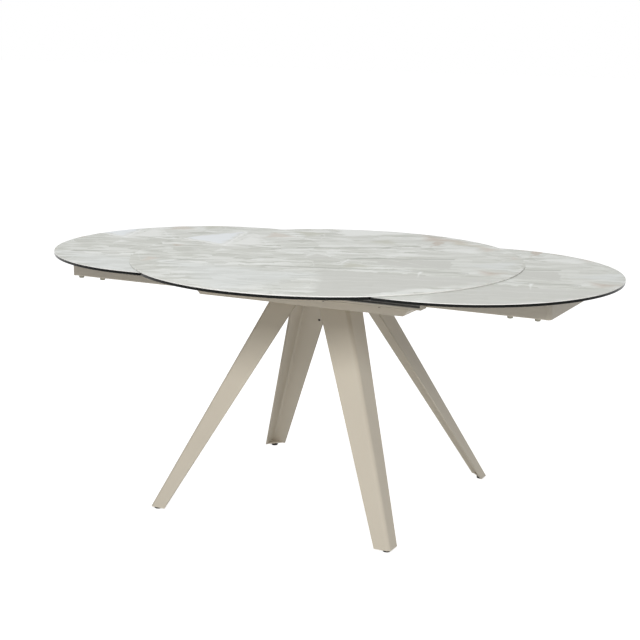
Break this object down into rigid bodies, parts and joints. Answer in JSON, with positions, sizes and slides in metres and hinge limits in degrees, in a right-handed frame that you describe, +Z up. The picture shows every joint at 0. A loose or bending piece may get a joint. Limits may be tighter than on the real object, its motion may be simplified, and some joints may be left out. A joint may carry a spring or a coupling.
{
  "type": "swivel extending table",
  "caption": "Round swivel dining table on splayed folded-sheet legs: turning its thin marbled top gears rounded end leaves in or out on sliding tube carriers.",
  "frame": {"origin": "on the floor below the centre of the round top", "axes": "+X along the slide of the leaves, +Y away from the viewer's side, +Z up"},
  "size_m": [1.8204, 1.2, 0.752],
  "materials": {
    "ceramic": "satin marbled",
    "dark_glass": "dark, polished edge",
    "powder_coat": "matt taupe powder coat",
    "rail_steel": "dark grey",
    "machined_steel": "machined",
    "blackened_steel": "blackened",
    "nylon": "moulded",
    "rubber": "matt"
  },
  "bodies": {
    "base": {"tray_floor": "powder_coat", "tray_front_wall": "powder_coat", "tray_rear_wall": "powder_coat", "tray_left_end": "powder_coat", "tray_right_end": "powder_coat", "front_beam": "powder_coat", "rear_beam": "powder_coat", "front_beam_caps": "powder_coat", "rear_beam_caps": "powder_coat", "front_outer_rail": "rail_steel", "front_inner_rail": "rail_steel", "rear_inner_rail": "rail_steel", "rear_outer_rail": "rail_steel", "bridge": "powder_coat", "bridge_gussets": "powder_coat", "bridge_packers": "rubber", "front_edge_plate": "dark_glass", "rear_edge_plate": "dark_glass", "pedestal": "machined_steel", "lower_race": "machined_steel", "leg_plate": "powder_coat", "leg_screws": "blackened_steel", "frame_bolts": "blackened_steel", "leg_front_left": "powder_coat", "leg_front_right": "powder_coat", "leg_rear_left": "powder_coat", "leg_rear_right": "powder_coat", "foot_plate_front_left": "powder_coat", "foot_plate_front_right": "powder_coat", "foot_plate_rear_left": "powder_coat", "foot_plate_rear_right": "powder_coat", "foot_pad_front_left": "rubber", "foot_pad_front_right": "rubber", "foot_pad_rear_left": "rubber", "foot_pad_rear_right": "rubber"},
    "swivel_top": {"top_panel": "ceramic", "top_backing": "machined_steel", "top_hub": "machined_steel", "drive_gear": "machined_steel", "upper_race": "machined_steel"},
    "ball_ring": {"ball_cage": "nylon", "bearing_balls": "machined_steel"},
    "left_carrier": {"left_leaf_panel": "ceramic", "left_leaf_glass": "dark_glass", "left_front_arm": "powder_coat", "left_rear_arm": "powder_coat", "left_end_plate": "powder_coat", "left_rack": "machined_steel", "left_leaf_pads": "rubber", "left_arm_screws": "blackened_steel", "left_runners": "nylon"},
    "right_carrier": {"right_leaf_panel": "ceramic", "right_leaf_glass": "dark_glass", "right_front_arm": "powder_coat", "right_rear_arm": "powder_coat", "right_end_plate": "powder_coat", "right_rack": "machined_steel", "right_leaf_pads": "rubber", "right_arm_screws": "blackened_steel", "right_runners": "nylon"}
  },
  "joints": [
    {"name": "top_swivel", "type": "hinge", "parent": "base", "child": "swivel_top", "pos_m": [0, 0, 0.709], "axis": [0, 0, -1], "range_deg": [0, 180]},
    {"name": "left_leaf_slide", "type": "slide", "parent": "base", "child": "left_carrier", "axis": [1, 0, 0], "range_m": [0, 0.3142]},
    {"name": "right_leaf_slide", "type": "slide", "parent": "base", "child": "right_carrier", "axis": [-1, 0, 0], "range_m": [0, 0.3142]},
    {"name": "ball_ring_spin", "type": "hinge", "parent": "base", "child": "ball_ring", "pos_m": [0, 0, 0.692], "axis": [0, 0, -1], "range_deg": [0, 90.1]}
  ],
  "couplings": [
    {"joint": "left_leaf_slide", "follows": "top_swivel", "m_per_rad": 0.1},
    {"joint": "right_leaf_slide", "follows": "top_swivel", "m_per_rad": 0.1},
    {"joint": "ball_ring_spin", "follows": "top_swivel", "ratio": 0.5}
  ]
}
